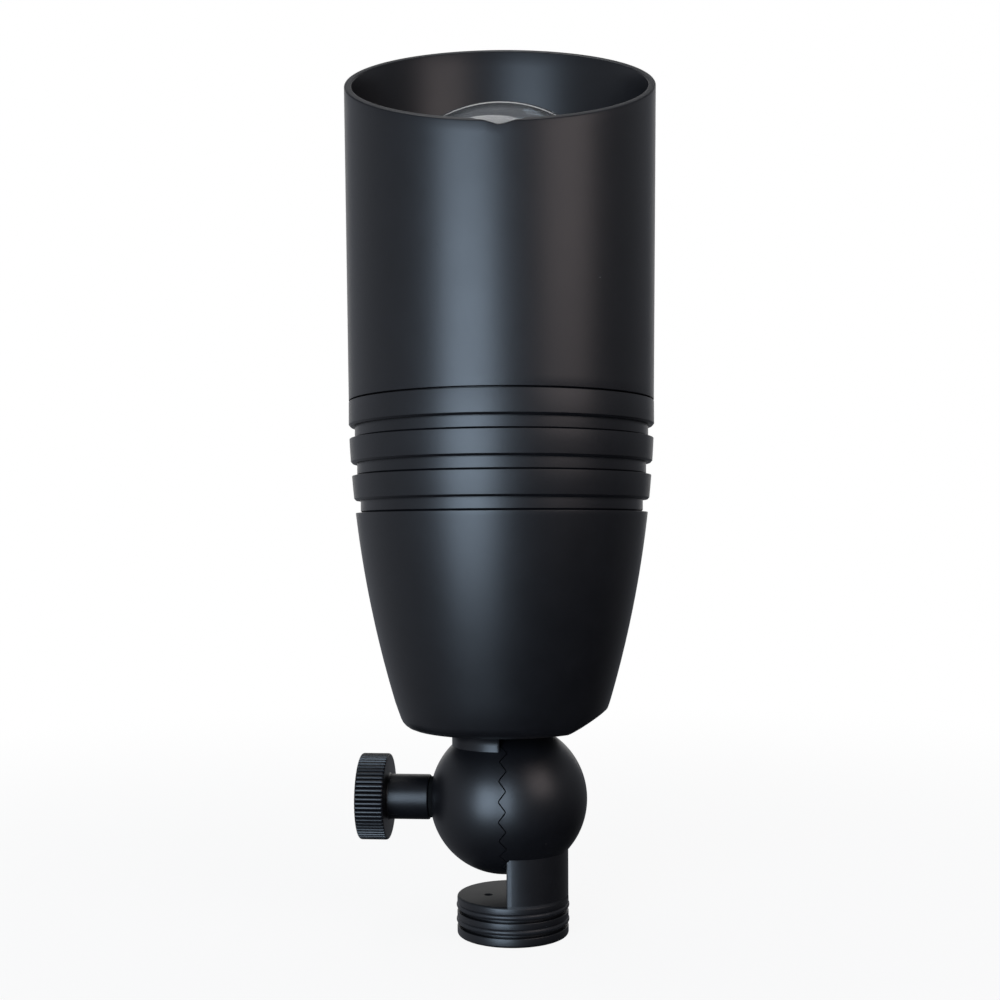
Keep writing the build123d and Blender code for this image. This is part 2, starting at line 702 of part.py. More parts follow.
with BuildPart() as lens_retainer:
    with BuildSketch(head_section):
        with BuildLine():
            Polyline(
                (barrel_d / 2 + fit_gap, lens_rim_h - retainer_skirt_h),
                (barrel_d / 2 + retainer_wall, lens_rim_h - retainer_skirt_h),
                (barrel_d / 2 + retainer_wall, lens_rim_h + fit_gap),
                (retainer_r, lens_rim_h + fit_gap),
                (retainer_r, lens_rim_h + retainer_lip_t),
                (lens_dome_d / 2 + retainer_lip_gap, lens_rim_h + retainer_lip_t),
                (lens_dome_d / 2 + retainer_lip_gap, lens_rim_h + fit_gap),
                (barrel_d / 2 + fit_gap, lens_rim_h + fit_gap),
                close=True,
            )
        make_face()
    revolve(axis=head_axis)
lens_retainer.part.label = "lens_retainer"
export_step(lens_retainer.part, "parts/lens_retainer.step")

# Cowl: a slightly flared tube on the spigot, cut at the rake, and the ring that seals it
with BuildPart() as cowl:
    with BuildSketch(head_section):
        Polygon(
            (cowl_bore_r, cowl_foot_h),
            (band_r, cowl_foot_h),
            (cowl_mouth_r, cowl_top_h),
            (cowl_mouth_r - cowl_wall, cowl_top_h),
            align=None,
        )
    revolve(axis=head_axis)
    split(bisect_by=rake_plane, keep=Keep.BOTTOM)
    with BuildSketch(head_section):
        notch = Polygon(
            (-notch_w, cowl_low_lip_h + notch_depth),
            (0, cowl_low_lip_h - notch_depth),
            (notch_w, cowl_low_lip_h + notch_depth),
            align=None,
        )
        fillet(notch.vertices().sort_by(Axis.Y)[0], notch_fillet)
    extrude(amount=cowl_mouth_r, mode=Mode.SUBTRACT)
turned_cowl = cowl.part.rotate(head_axis, cowl_lip_turn_deg)
turned_cowl.label = "cowl"
export_step(turned_cowl, "parts/cowl.step")

with BuildPart() as cowl_seal:
    with BuildSketch(head_section):
        with Locations((cowl_seal_r, cowl_seal_h)):
            Circle(cowl_seal_section_d / 2)
    revolve(axis=head_axis)
cowl_seal.part.label = "cowl_seal"
export_step(cowl_seal.part, "parts/cowl_seal.step")
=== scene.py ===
"""Landscape spotlight: finished pieces, materials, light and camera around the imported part."""

import json
from math import acos, atan2, cos, pi, radians, sin, sqrt, tan

import bmesh
import bpy
import numpy as np
from mathutils import Matrix, Vector


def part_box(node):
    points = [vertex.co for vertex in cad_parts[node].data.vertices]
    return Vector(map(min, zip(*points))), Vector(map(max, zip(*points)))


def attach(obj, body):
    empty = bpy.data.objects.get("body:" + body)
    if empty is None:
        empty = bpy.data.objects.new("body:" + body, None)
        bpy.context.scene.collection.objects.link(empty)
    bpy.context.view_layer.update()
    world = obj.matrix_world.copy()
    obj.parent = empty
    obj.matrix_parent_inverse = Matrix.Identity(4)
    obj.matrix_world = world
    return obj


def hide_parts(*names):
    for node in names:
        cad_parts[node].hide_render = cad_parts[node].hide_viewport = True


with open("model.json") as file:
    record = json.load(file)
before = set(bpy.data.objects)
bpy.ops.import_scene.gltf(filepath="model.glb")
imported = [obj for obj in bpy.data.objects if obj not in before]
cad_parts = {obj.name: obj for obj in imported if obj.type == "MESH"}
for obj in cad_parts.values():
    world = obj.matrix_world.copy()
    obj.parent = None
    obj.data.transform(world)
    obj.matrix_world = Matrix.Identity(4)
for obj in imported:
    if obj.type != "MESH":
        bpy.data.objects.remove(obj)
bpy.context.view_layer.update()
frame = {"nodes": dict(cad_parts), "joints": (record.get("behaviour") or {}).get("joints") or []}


# Lower knuckle
# One aluminium die casting: a plug with two seal grooves, a half-round stem, and a half ball
# whose flat side carries a crown of radial teeth. It is powder coated satin black all over.
mm = 0.001
tooth_count = 24
tooth_h = 1.5
tooth_break = 0.10
tooth_least = 0.02
plug_h = 8.0
plug_edge = 0.5
stem_r = 11.36
stem_edge = 0.35
stem_sink = 1.0
joint_row = 0.3
groove_floor_r = 10.36
groove_h = 1.63
groove_low_z = (1.87, 4.84)
groove_edge = 0.18
chamber_r = 9.8
chamber_depth = 6.5
hub_r = 5.6
insert_r = 4.5
insert_l = 9.0
flat_setback = 0.02
stem_foot_x = -0.35
ball_clearance = 0.2
dimple_r = 1.5
dimple_depth = 0.35
dimple_place = (-4.9, -1.5, plug_h + dimple_r - dimple_depth)


def node_box(node):
    """A CAD node's lowest and highest corners, in millimetres."""
    return tuple(np.array(corner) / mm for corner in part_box(node))


base_low, base_high = node_box("lower_knuckle")
ball_r = base_high[1]
pivot_h = base_high[2] - ball_r
plug_r = -base_low[0]


class Wire:
    """A node's output in a tree. Arithmetic on wires adds Math nodes to that tree."""

    def __init__(self, tree, socket=None):
        self.tree = tree
        self.socket = socket

    def node(self, kind, settings=None, values=None, output=0):
        """Adds a node: its settings first, then the values or links of its sockets."""
        made = self.tree.nodes.new(kind)
        for name, value in (settings or {}).items():
            setattr(made, name, value)
        for key, value in (values or {}).items():
            if isinstance(value, Wire):
                self.tree.links.new(value.socket, made.inputs[key])
            else:
                made.inputs[key].default_value = value
        return Wire(self.tree, made.outputs[output] if made.outputs else None)

    def math(self, operation, *values):
        """Adds a Math node."""
        return self.node("ShaderNodeMath", {"operation": operation}, dict(enumerate(values)))

    def __add__(self, other):
        return self.math("ADD", self, other)

    def __mul__(self, other):
        return self.math("MULTIPLY", self, other)

    def __lt__(self, other):
        return self.math("LESS_THAN", self, other)

    def __gt__(self, other):
        return self.math("GREATER_THAN", self, other)

    __radd__ = __add__
    __rmul__ = __mul__


def new_finish(name):
    """An empty material, and a wire into its node tree."""
    material = bpy.data.materials.new(name)
    material.use_nodes = True
    material.node_tree.nodes.clear()
    return material, Wire(material.node_tree)


def noise(wire, size, detail=2.0, output=0):
    """Noise in Object coordinates, with features about size millimetres wide."""
    place = wire.node("ShaderNodeTexCoord", output="Object")
    values = {"Vector": place, "Scale": 1 / (size * mm), "Detail": detail, "Roughness": 0.55}
    return wire.node("ShaderNodeTexNoise", values=values, output=output)


def mixed(wire, factor, first, second):
    """A colour between two others."""
    values = {0: factor, 6: first, 7: second}
    return wire.node("ShaderNodeMix", {"data_type": "RGBA"}, values, output=2)


def bumped(wire, height, depth, strength=1.0):
    """A surface normal from a height between 0 and 1, depth millimetres deep."""
    values = {"Height": height, "Distance": depth * mm, "Strength": strength}
    return wire.node("ShaderNodeBump", values=values)


def shown(wire, shader):
    """Makes a shader the surface of its material."""
    wire.node("ShaderNodeOutputMaterial", values={"Surface": shader})


coat_dark = (0.0017, 0.0017, 0.0024, 1)
coat_pale = (0.0036, 0.0036, 0.0046, 1)
coat_dust = (0.200, 0.195, 0.190, 1)
blast_low_z, blast_high_z = plug_h - 0.3, plug_h + 0.2
black_coat, coat = new_finish("black_powder_coat")
mottle = noise(coat, 6.0, 4.0)
peel = noise(coat, 0.55)
grain = noise(coat, 0.22)
speck = coat.node(
    "ShaderNodeTexVoronoi",
    values={"Vector": coat.node("ShaderNodeTexCoord", output="Object"), "Scale": 1 / (5.0 * mm)},
)
dusty = (speck < 0.018) * (noise(coat, 9.0) > 0.60)
height = coat.node(
    "ShaderNodeSeparateXYZ",
    values={"Vector": coat.node("ShaderNodeTexCoord", output="Object")},
    output="Z",
)
blasted = (height > blast_low_z * mm) * (height < blast_high_z * mm)
tone = mixed(coat, mottle, coat_dark, coat_pale)
skin = coat.node(
    "ShaderNodeBsdfPrincipled",
    values={
        "Base Color": mixed(coat, dusty, tone, coat_dust),
        "Roughness": 0.34 + 0.05 * mottle + 0.04 * peel + 0.3 * dusty + 0.19 * blasted,
        "Specular IOR Level": 0.45,
        "Normal": bumped(coat, 0.6 * peel + 0.4 * grain, 0.016, 0.7),
    },
)
shown(coat, skin)

repeat_tree = bpy.data.node_groups.new("Repeat About Axis", "GeometryNodeTree")
repeat_inputs = {}
for label, kind in (
    ("Geometry", "NodeSocketGeometry"),
    ("Count", "NodeSocketInt"),
    ("Turn", "NodeSocketFloat"),
    ("Rise", "NodeSocketFloat"),
    ("Centre", "NodeSocketVector"),
    ("Axis", "NodeSocketVector"),
    ("Weld", "NodeSocketFloat"),
    ("Finish", "NodeSocketMaterial"),
):
    made = repeat_tree.interface.new_socket(label, in_out="INPUT", socket_type=kind)
    repeat_inputs[label] = made.identifier
repeat_tree.interface.new_socket("Geometry", in_out="OUTPUT", socket_type="NodeSocketGeometry")

copies = Wire(repeat_tree)
given = {label: copies.node("NodeGroupInput", output=label) for label in repeat_inputs}
index = copies.node("GeometryNodeInputIndex")
lift = copies.node(
    "ShaderNodeVectorMath",
    {"operation": "SCALE"},
    {0: given["Axis"], "Scale": given["Rise"] * index},
)
spots = copies.node("GeometryNodePoints", values={"Count": given["Count"], "Position": lift})
turn = copies.node(
    "FunctionNodeAxisAngleToRotation",
    values={"Axis": given["Axis"], "Angle": given["Turn"] * index},
)
centred = copies.node(
    "GeometryNodeTransform",
    values={
        "Geometry": given["Geometry"],
        "Translation": copies.node(
            "ShaderNodeVectorMath", {"operation": "SCALE"}, {0: given["Centre"], "Scale": -1.0}
        ),
    },
)
row = copies.node(
    "GeometryNodeInstanceOnPoints",
    values={"Points": spots, "Instance": centred, "Rotation": turn},
)
put_back = copies.node(
    "GeometryNodeTransform", values={"Geometry": row, "Translation": given["Centre"]}
)
joined = copies.node(
    "GeometryNodeMergeByDistance",
    values={
        "Geometry": copies.node("GeometryNodeRealizeInstances", values={"Geometry": put_back}),
        "Distance": given["Weld"],
    },
)
coated = copies.node(
    "GeometryNodeSetMaterial", values={"Geometry": joined, "Material": given["Finish"]}
)
copies.node("NodeGroupOutput", values={"Geometry": coated})


def evaluated_mesh(obj):
    """A plain mesh of an object with its modifiers applied."""
    bpy.context.view_layer.update()
    return bpy.data.meshes.new_from_object(
        obj.evaluated_get(bpy.context.evaluated_depsgraph_get())
    )


def grid_mesh(name, points, closed_rows=False, closed_columns=False):
    """A sheet of four-sided faces over a grid of points in millimetres."""
    rows, columns = points.shape[:2]
    faces = []
    for row in range(rows if closed_rows else rows - 1):
        here, after = row * columns, (row + 1) % rows * columns
        for column in range(columns if closed_columns else columns - 1):
            beside = (column + 1) % columns
            faces.append((here + column, here + beside, after + beside, after + column))
    mesh = bpy.data.meshes.new(name)
    mesh.from_pydata((points.reshape(-1, 3) * mm).tolist(), [], faces)
    return mesh


def new_piece(name, mesh):
    """An object of the scene, with a mesh."""
    obj = bpy.data.objects.new(name, mesh)
    bpy.context.scene.collection.objects.link(obj)
    return obj


def close_up(obj):
    """Welds a closed mesh and points its faces outwards."""
    shell = bmesh.new()
    shell.from_mesh(obj.data)
    bmesh.ops.remove_doubles(shell, verts=shell.verts, dist=0.0005 * mm)
    bmesh.ops.dissolve_degenerate(shell, edges=shell.edges, dist=0.0002 * mm)
    bmesh.ops.recalc_face_normals(shell, faces=shell.faces)
    shell.to_mesh(obj.data)
    shell.free()
    return obj


def repeated(name, mesh, finish, count, step_turn, rise=0.0, centre=(0, 0, 0), axis=(0, 0, 1)):
    """One closed mesh of count copies, each turned and raised from the one before."""
    obj = new_piece(name, mesh)
    modifier = obj.modifiers.new("repeat", "NODES")
    modifier.node_group = repeat_tree
    for label, value in (
        ("Count", count),
        ("Turn", step_turn),
        ("Rise", rise * mm),
        ("Centre", Vector(centre) * mm),
        ("Axis", axis),
        ("Weld", 0.002 * mm),
        ("Finish", finish),
    ):
        modifier[repeat_inputs[label]] = value
    whole = evaluated_mesh(obj)
    obj.modifiers.remove(modifier)
    obj.data = whole
    return close_up(obj)


def turned(name, outline, finish, centre, axis=(0, 0, 1), count=36, columns=8, shape=None, ring=True):
    """A turned piece: one sector of an outline of (radius, height), repeated about its axis."""
    turns = np.linspace(0, 2 * pi / count, columns + 1)[None, :]
    radius = outline[:, :1] + 0 * turns
    height = outline[:, 1:] + 0 * turns
    if shape:
        radius, height = shape(radius, height, turns)
    across, aside = radius * np.cos(turns), radius * np.sin(turns)
    if axis[0]:
        points = np.stack((axis[0] * height, -axis[0] * aside, across), -1)
    else:
        points = np.stack((across, aside, height), -1)
    sector = grid_mesh(name, points + np.array(centre), closed_rows=ring)
    return repeated(name, sector, finish, count, 2 * pi / count, 0.0, centre, axis)


def rounded(corners, steps=5):
    """Outline points, with each corner (across, along, radius) drawn as an arc of that radius."""
    points = []
    for place, (across, along, radius) in enumerate(corners):
        corner = np.array((across, along))
        if not radius:
            points.append(corner)
            continue
        back = np.array(corners[place - 1][:2]) - corner
        ahead = np.array(corners[(place + 1) % len(corners)][:2]) - corner
        back, ahead = back / np.linalg.norm(back), ahead / np.linalg.norm(ahead)
        half = acos(np.clip(back @ ahead, -1, 1)) / 2
        middle = (back + ahead) / np.linalg.norm(back + ahead)
        centre = corner + middle * radius / sin(half)
        start = corner + back * radius / tan(half) - centre
        end = corner + ahead * radius / tan(half) - centre
        sweep = atan2(start[0] * end[1] - start[1] * end[0], start @ end)
        for part in np.linspace(0, sweep, steps + 1):
            spoke = (
                start[0] * cos(part) - start[1] * sin(part),
                start[0] * sin(part) + start[1] * cos(part),
            )
            points.append(centre + spoke)
    return np.array(points)


def capped(name, points):
    """A closed piece from rows of points, with both ends filled."""
    obj = new_piece(name, grid_mesh(name, points, closed_columns=True))
    shell = bmesh.new()
    shell.from_mesh(obj.data)
    bmesh.ops.holes_fill(shell, edges=shell.edges)
    shell.to_mesh(obj.data)
    shell.free()
    return close_up(obj)


def half_column(name, outline, flat_x, side, edge):
    """A half-round column of (radius, height) rows, with its flat in the plane flat_x."""
    rows = []
    halfway = 0.3 * edge
    for radius, height in outline:
        corner = acos(edge / radius)
        arc = np.linspace(-corner, corner, 97)
        x = np.concatenate(([0, halfway], radius * np.cos(arc), [halfway, 0]))
        y = np.concatenate((
            [edge - radius, halfway - radius],
            radius * np.sin(arc),
            [radius - halfway, radius - edge],
        ))
        rows.append(np.stack((flat_x + side * x, y, 0 * x + height), -1))
    return capped(name, np.array(rows))


def cast(name, solids, cuts=()):
    """One solid from several that overlap, with the cuts taken out of it."""
    whole = solids[0]
    others = [(obj, "UNION") for obj in solids[1:]] + [(obj, "DIFFERENCE") for obj in cuts]
    for obj, operation in others:
        modifier = whole.modifiers.new(obj.name, "BOOLEAN")
        modifier.operation = operation
        modifier.solver = "EXACT"
        modifier.object = obj
    mesh = evaluated_mesh(whole)
    whole.modifiers.clear()
    whole.data = mesh
    for obj, operation in others:
        bpy.data.objects.remove(obj)
    whole.name = mesh.name = name
    return whole


def dressed(obj, finish, body, slot, *nodes, hard_edge=32):
    """Smooths a finished piece up to its hard edges, puts it under its body, and hides the CAD nodes
    it stands for.
    """
    mesh = obj.data
    mesh.materials.clear()
    mesh.materials.append(finish)
    mesh.polygons.foreach_set("material_index", [0] * len(mesh.polygons))
    mesh.polygons.foreach_set("use_smooth", [True] * len(mesh.polygons))
    mesh.set_sharp_from_angle(angle=radians(hard_edge))
    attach(obj, body)
    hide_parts(*nodes)
    return obj


def crown(valley_turn):
    """Lays the rows of an outline that stand above its root plane on the toothed crown."""
    half = pi / tooth_count
    slope = tooth_h / 2 / ball_r

    def shape(radius, height, turns):
        off = np.abs((turns - valley_turn + half) % (2 * half) - half)
        rise = (1 + cos(half)) / sin(half) * np.sin(off) - np.cos(off)
        teeth = tooth_h / 2 + slope * radius * rise
        broken = np.maximum(teeth - tooth_break, tooth_least)
        teeth = np.where(radius > ball_r - tooth_break, broken, teeth)
        return radius, np.where(height > 0, teeth, height)

    return shape


sphere_turns = np.radians(np.linspace(0, 90, 46))
crown_rows = [(r, 1.0) for r in (ball_r, *np.linspace(ball_r - 2 * tooth_break, chamber_r, 5))]
chamber_rows = [(chamber_r, -chamber_depth), (hub_r, -chamber_depth), (hub_r, 0)]
lower_outline = (
    [(ball_r * sin(t), -ball_r * cos(t)) for t in sphere_turns]
    + crown_rows
    + chamber_rows
    + [(insert_r, 0), (insert_r, -insert_l), (0, -insert_l)]
)
lower_half = turned(
    "lower_half_ball",
    np.array(lower_outline),
    black_coat,
    (0, 0, pivot_h),
    axis=(-1, 0, 0),
    count=tooth_count,
    columns=12,
    shape=crown(0),
    ring=False,
)
plug_corners = [(0, 0, 0), (plug_r, 0, plug_edge)]
for low_z in groove_low_z:
    plug_corners += [
        (plug_r, low_z, groove_edge),
        (groove_floor_r, low_z, 0),
        (groove_floor_r, low_z + groove_h, 0),
        (plug_r, low_z + groove_h, groove_edge),
    ]
plug_corners += [(plug_r, plug_h, plug_edge), (0, plug_h, 0)]
plug = turned("plug", rounded(plug_corners), black_coat, (0, 0, 0), ring=False)
stem_heights = (
    plug_h - stem_sink,
    plug_h + joint_row,
    pivot_h - ball_r - joint_row,
    pivot_h - chamber_r - ball_clearance,
)
stem_rows = [(stem_r, z) for z in stem_heights]
stem = half_column("stem", stem_rows, flat_setback, 1, stem_edge)
stem_foot = half_column("stem_foot", stem_rows, stem_foot_x, 1, stem_edge)


def ball(name, radius, centre):
    """A whole ball, to cut with."""
    outline = np.array([(radius * sin(t), -radius * cos(t)) for t in 2 * sphere_turns])
    return turned(name, outline, black_coat, centre, ring=False)


clear_ball = ball("clear_ball", ball_r + ball_clearance, (0, 0, pivot_h))
stem_foot = cast("stem_foot", [stem_foot], [clear_ball])
dimple = ball("dimple", dimple_r, dimple_place)
lower_knuckle = cast("lower_knuckle_casting", [lower_half, stem, stem_foot, plug], [dimple])
dressed(lower_knuckle, black_coat, "base", "black_coat", "lower_knuckle")


# Plug seals
# Two rubber rings of round section, stretched into the plug's grooves, that hold the plug in
# its stake and keep water out. Each stands a little proud of the plug.
seal_low, seal_high = node_box("plug_seals")
seal_section_r = 0.6
seal_ring_r = seal_high[1] - seal_section_r
seal_lift = 0.15
seal_z = seal_low[2] + seal_section_r + seal_lift
seal_pitch = seal_high[2] - seal_low[2] - 2 * seal_section_r

rubber_black, rubber = new_finish("rubber_black")
bloom = noise(rubber, 1.2, 3.0)
shown(rubber, rubber.node(
    "ShaderNodeBsdfPrincipled",
    values={
        "Base Color": mixed(rubber, bloom, (0.005, 0.005, 0.006, 1), (0.011, 0.011, 0.012, 1)),
        "Roughness": 0.36 + 0.08 * bloom,
        "Specular IOR Level": 0.38,
        "Normal": bumped(rubber, noise(rubber, 0.25), 0.004),
    },
))
around = np.linspace(0, 2 * pi, 24, endpoint=False)
seal_outline = np.stack(
    (seal_ring_r + seal_section_r * np.cos(around), seal_z + seal_section_r * np.sin(around)), -1
)
seal = turned("seal_ring", seal_outline, rubber_black, (0, 0, 0))
seals = repeated("plug_seal_rings", seal.data, rubber_black, 2, 0.0, seal_pitch)
bpy.data.objects.remove(seal)
dressed(seals, rubber_black, "base", "rubber_black", "plug_seals")


# Contact insert, pins, thread insert and leads
# A moulded insulator pressed into the plug's foot carries two brass pins. Two sleeved leads
# rise from them through the stem, and a brass thread insert is cast into the half ball.
def plain_finish(name, first, second, size, roughness, metallic=0.0, bump=0.003):
    """A finish with soft mottling between two colours, features about size millimetres wide."""
    material, wire = new_finish(name)
    patch = noise(wire, size, 3.0)
    shown(wire, wire.node(
        "ShaderNodeBsdfPrincipled",
        values={
            "Base Color": mixed(wire, patch, (*first, 1), (*second, 1)),
            "Roughness": roughness + 0.12 * patch,
            "Metallic": metallic,
            "Normal": bumped(wire, noise(wire, size / 3), bump),
        },
    ))
    return material


insulator = plain_finish("insulator_moulding", (0.020, 0.020, 0.021), (0.032, 0.032, 0.034), 1.5, 0.45)
brass = plain_finish("brass_plain", (0.62, 0.43, 0.17), (0.72, 0.52, 0.22), 1.0, 0.22, 1.0)
lead_sleeve = plain_finish("lead_sleeve", (0.30, 0.30, 0.30), (0.38, 0.38, 0.37), 1.0, 0.40)


def coat_node(finish, *nodes):
    """Gives CAD nodes that stay as they are a finish of their own."""
    for node in nodes:
        for spot in frame["nodes"][node].material_slots:
            spot.material = finish


coat_node(insulator, "contact_insert")
coat_node(brass, "contact_pins", "thread_insert")
coat_node(lead_sleeve, "base_leads", "head_leads", "led_leads")


# Rear housing
# One casting: the upper half ball with its own crown of teeth, a half-round neck, and a tapered
# cup with two cooling rings and a band at its mouth. It is coated as the lower casting is.
housing_top_z = node_box("rear_housing")[1][2]
joints = {joint["name"]: joint for joint in frame["joints"]}
head_x = joints["cowl_turn"]["pos_m"][0] / mm
tooth_gap = 0.12
upper_x = -tooth_h - tooth_gap
band_r = 31.15
floor_z = 42.2
band_top_z = 108.53
spigot_r = 29.55
spigot_bore_r = 26.95
spigot_edge = 0.5
band_edge = 0.10
ring_edge = 0.12
ring_chamfer_w, ring_chamfer_h = 0.34, 0.42
ring_chamfer_edge = 0.03
undercut = 0.36
undercut_edge = 0.05
ring_groove_depth = 1.15
ring_h = 5.0
ring_gap = 2.5
cup_top_z = 103.6
foot_r = 20.1
foot_fillet = 3.2
cup_foot_r = 22.0
cup_foot_z = 47.6
cup_bulge = 1.77
cup_foot_row, cup_groove_row = 2.0, 1.0
neck_r = 10.7
neck_root = 2.4
root_sweep = radians(80)
neck_edge = 0.3
neck_sink = 2.0
neck_rise = 1.5
core_clearance = 0.3
seat_x = 14.45
stud_hole_r = 3.25
bevel_start = 13.7
bevel_slope = tan(radians(28))
bevel_reach = 40.0
bevel_below = 10.0
relief_r = 15.7
relief_travel = 2.3
inner_top_z, inner_top_r = 100.0, 24.9
inner_foot_z, inner_foot_r = 50.0, 18.4
inner_floor_z = 46.1
inner_fillet = 2.0


def cup_radius(z):
    """The cup's outer radius, on an arc that bulges from its foot to its mouth."""
    start, end = np.array((cup_foot_r, cup_foot_z)), np.array((band_r, cup_top_z))
    chord = np.linalg.norm(end - start)
    arc_r = (chord**2 / 4 + cup_bulge**2) / (2 * cup_bulge)
    normal = np.array((end[1] - start[1], start[0] - end[0])) / chord
    centre = (start + end) / 2 - normal * (arc_r - cup_bulge)
    return centre[0] + sqrt(arc_r**2 - (z - centre[1]) ** 2)


seat_turn = acos(seat_x / ball_r)
upper_outline = (
    [(stud_hole_r, -seat_x)]
    + [(ball_r * sin(t), -ball_r * cos(t)) for t in np.linspace(seat_turn, pi / 2, 40)]
    + crown_rows
    + chamber_rows
    + [(stud_hole_r, 0)]
)
upper_half = turned(
    "upper_half_ball",
    np.array(upper_outline),
    black_coat,
    (upper_x, 0, pivot_h),
    axis=(1, 0, 0),
    count=tooth_count,
    columns=12,
    shape=crown(pi / tooth_count),
)

cup_corners = [(0, floor_z, 0), (foot_r, floor_z, foot_fillet), (cup_foot_r, cup_foot_z, 0)]
ring_tops = [cup_top_z - place * (ring_h + ring_gap) for place in range(3)]
groove_lows = sorted(z - ring_gap for z in ring_tops)
cup_heights = np.linspace(cup_foot_z + cup_foot_row, groove_lows[0] - cup_groove_row, 24)
cup_corners += [(cup_radius(z), z, 0) for z in cup_heights]
for low_z in groove_lows:
    high_z = low_z + ring_gap
    floor_r = cup_radius((low_z + high_z) / 2) - ring_groove_depth
    cup_corners += [
        (cup_radius(low_z), low_z, ring_edge),
        (floor_r - undercut, low_z, 0),
        (floor_r, low_z + undercut, undercut_edge),
        (floor_r, high_z, 0),
        (cup_radius(high_z) - ring_chamfer_w, high_z, ring_chamfer_edge),
        (cup_radius(high_z + ring_chamfer_h), high_z + ring_chamfer_h, ring_chamfer_edge),
    ]
    if high_z < cup_top_z:
        cup_corners += [(cup_radius(high_z + ring_h / 2), high_z + ring_h / 2, 0)]
cup_corners += [
    (band_r, band_top_z, band_edge),
    (spigot_r, band_top_z, 0),
    (spigot_r, housing_top_z, spigot_edge),
    (spigot_bore_r, housing_top_z, spigot_edge),
    (spigot_bore_r, inner_top_z, 0),
    (inner_top_r, inner_top_z, 0),
    (inner_foot_r, inner_foot_z, inner_fillet),
    (inner_foot_r - inner_fillet, inner_floor_z, 0),
    (0, inner_floor_z, 0),
]
cup = turned("cup", rounded(cup_corners), black_coat, (head_x, 0, 0), ring=False)

neck_rows = [(neck_r, pivot_h + chamber_r - neck_sink)]
neck_rows += [
    (neck_r + neck_root * (1 - cos(t)), floor_z - neck_root * (1 - sin(t)))
    for t in np.linspace(0, root_sweep, 9)
]
neck_rows += [(neck_rows[-1][0], floor_z + neck_rise)]
neck = half_column("neck", neck_rows, upper_x - flat_setback, -1, neck_edge)
core_r, core_l = chamber_r + core_clearance, 2 * ball_r
core_outline = np.array([(0, -core_l), (core_r, -core_l), (core_r, core_l), (0, core_l)])
core = turned("chamber_core", core_outline, black_coat, (0, 0, pivot_h), axis=(1, 0, 0), ring=False)
neck = cast("neck", [neck], [core])

wedge_section = np.array([
    (bevel_start - bevel_below, floor_z - bevel_below * bevel_slope),
    (bevel_start + bevel_reach, floor_z + bevel_reach * bevel_slope),
    (bevel_start + bevel_reach, floor_z - bevel_below),
    (bevel_start - bevel_below, floor_z - bevel_below),
])
wedge_points = np.array([
    [(head_x + x, y, z) for x, z in wedge_section] for y in (-bevel_reach, bevel_reach)
])
wedge = capped("bevel_cut", wedge_points)

relief_turns = np.radians(np.linspace(0, 90, 31))
relief_outline = np.array(
    [(relief_r * sin(t), -relief_r * cos(t)) for t in relief_turns]
    + [(relief_r * cos(t), relief_travel + relief_r * sin(t)) for t in relief_turns]
)
relief = turned("ball_relief", relief_outline, black_coat, (0, 0, pivot_h), axis=(1, 0, 0), ring=False)
cup = cast("cup", [cup], [wedge, relief])
rear_housing = cast("rear_housing_casting", [cup, neck, upper_half])
dressed(rear_housing, black_coat, "head", "black_coat", "rear_housing")
coat_node(rubber_black, "lead_grommet", "cowl_seal")


# Thumbscrew and washer
# A turned aluminium knob with a straight knurl and a plain collar, coated black, on a stainless
# stud. A rubber washer lies between the collar and the flat on the upper half ball.
knob_low, knob_high = node_box("thumbscrew_knob")
washer_low, washer_high = node_box("clamp_washer")
knob_r = 8.8
knob_w = 5.85
knob_edge = 0.45
collar_r = 4.6
collar_edge = 0.3
collar_root = 0.35
knurl_count = 60
knurl_depth = 0.55
stud_r = 3.175
stud_depth = 1.5
face_rim = 1.6
face_slope = 0.4
face_depth = 0.15
centre_mark_r = 0.05
washer_edge = 0.2
knob_l = knob_high[0] - knob_low[0]


def knurl(radius, height, turns):
    """Cuts one flute across the middle of a sector, between two round ridges."""
    off = np.abs(turns * knurl_count / pi - 1)
    return np.minimum(radius, knob_r - knurl_depth * (1 - off) ** 3), height


knob_corners = [
    (stud_r, 0, 0),
    (collar_r, 0, collar_edge),
    (collar_r, knob_l - knob_w, collar_root),
    (knob_r, knob_l - knob_w, knob_edge),
    (knob_r, knob_l, knob_edge),
    (knob_r - face_rim, knob_l, 0),
    (knob_r - face_rim - face_slope, knob_l - face_depth, 0),
    (centre_mark_r, knob_l - face_depth, 0),
    (centre_mark_r, knob_l - stud_depth, 0),
    (stud_r, knob_l - stud_depth, 0),
]
knob = turned(
    "thumbscrew_knob_turned",
    rounded(knob_corners),
    black_coat,
    (knob_high[0], 0, pivot_h),
    axis=(-1, 0, 0),
    count=knurl_count,
    columns=8,
    shape=knurl,
)
dressed(knob, black_coat, "thumbscrew", "black_coat", "thumbscrew_knob", hard_edge=28)

# The washer's rubber is near black and dull, darker than the seals': partly its own black rubber,
# partly painted shade for the gap between the collar and the ball.
washer_rubber_and_shade, matte = new_finish("washer_rubber_and_shade")
chalk = noise(matte, 0.8, 3.0)
shown(matte, matte.node(
    "ShaderNodeBsdfPrincipled",
    values={
        "Base Color": mixed(matte, chalk, (0.002, 0.002, 0.002, 1), (0.004, 0.004, 0.004, 1)),
        "Roughness": 0.80 + 0.10 * chalk,
        "Specular IOR Level": 0.08,
    },
))
washer_r = washer_high[1]
washer_w = washer_high[0] - washer_low[0]
washer_corners = [
    (stud_r, 0, 0),
    (washer_r, 0, washer_edge),
    (washer_r, washer_w, washer_edge),
    (stud_r, washer_w, 0),
]
washer = turned(
    "clamp_washer_ring",
    rounded(washer_corners),
    washer_rubber_and_shade,
    (washer_high[0], 0, pivot_h),
    axis=(-1, 0, 0),
)
dressed(washer, washer_rubber_and_shade, "clamp", "rubber_black", "clamp_washer")
stainless = plain_finish("stainless", (0.50, 0.50, 0.51), (0.60, 0.60, 0.60), 0.8, 0.24, 1.0)
coat_node(stainless, "thumbscrew_stud")


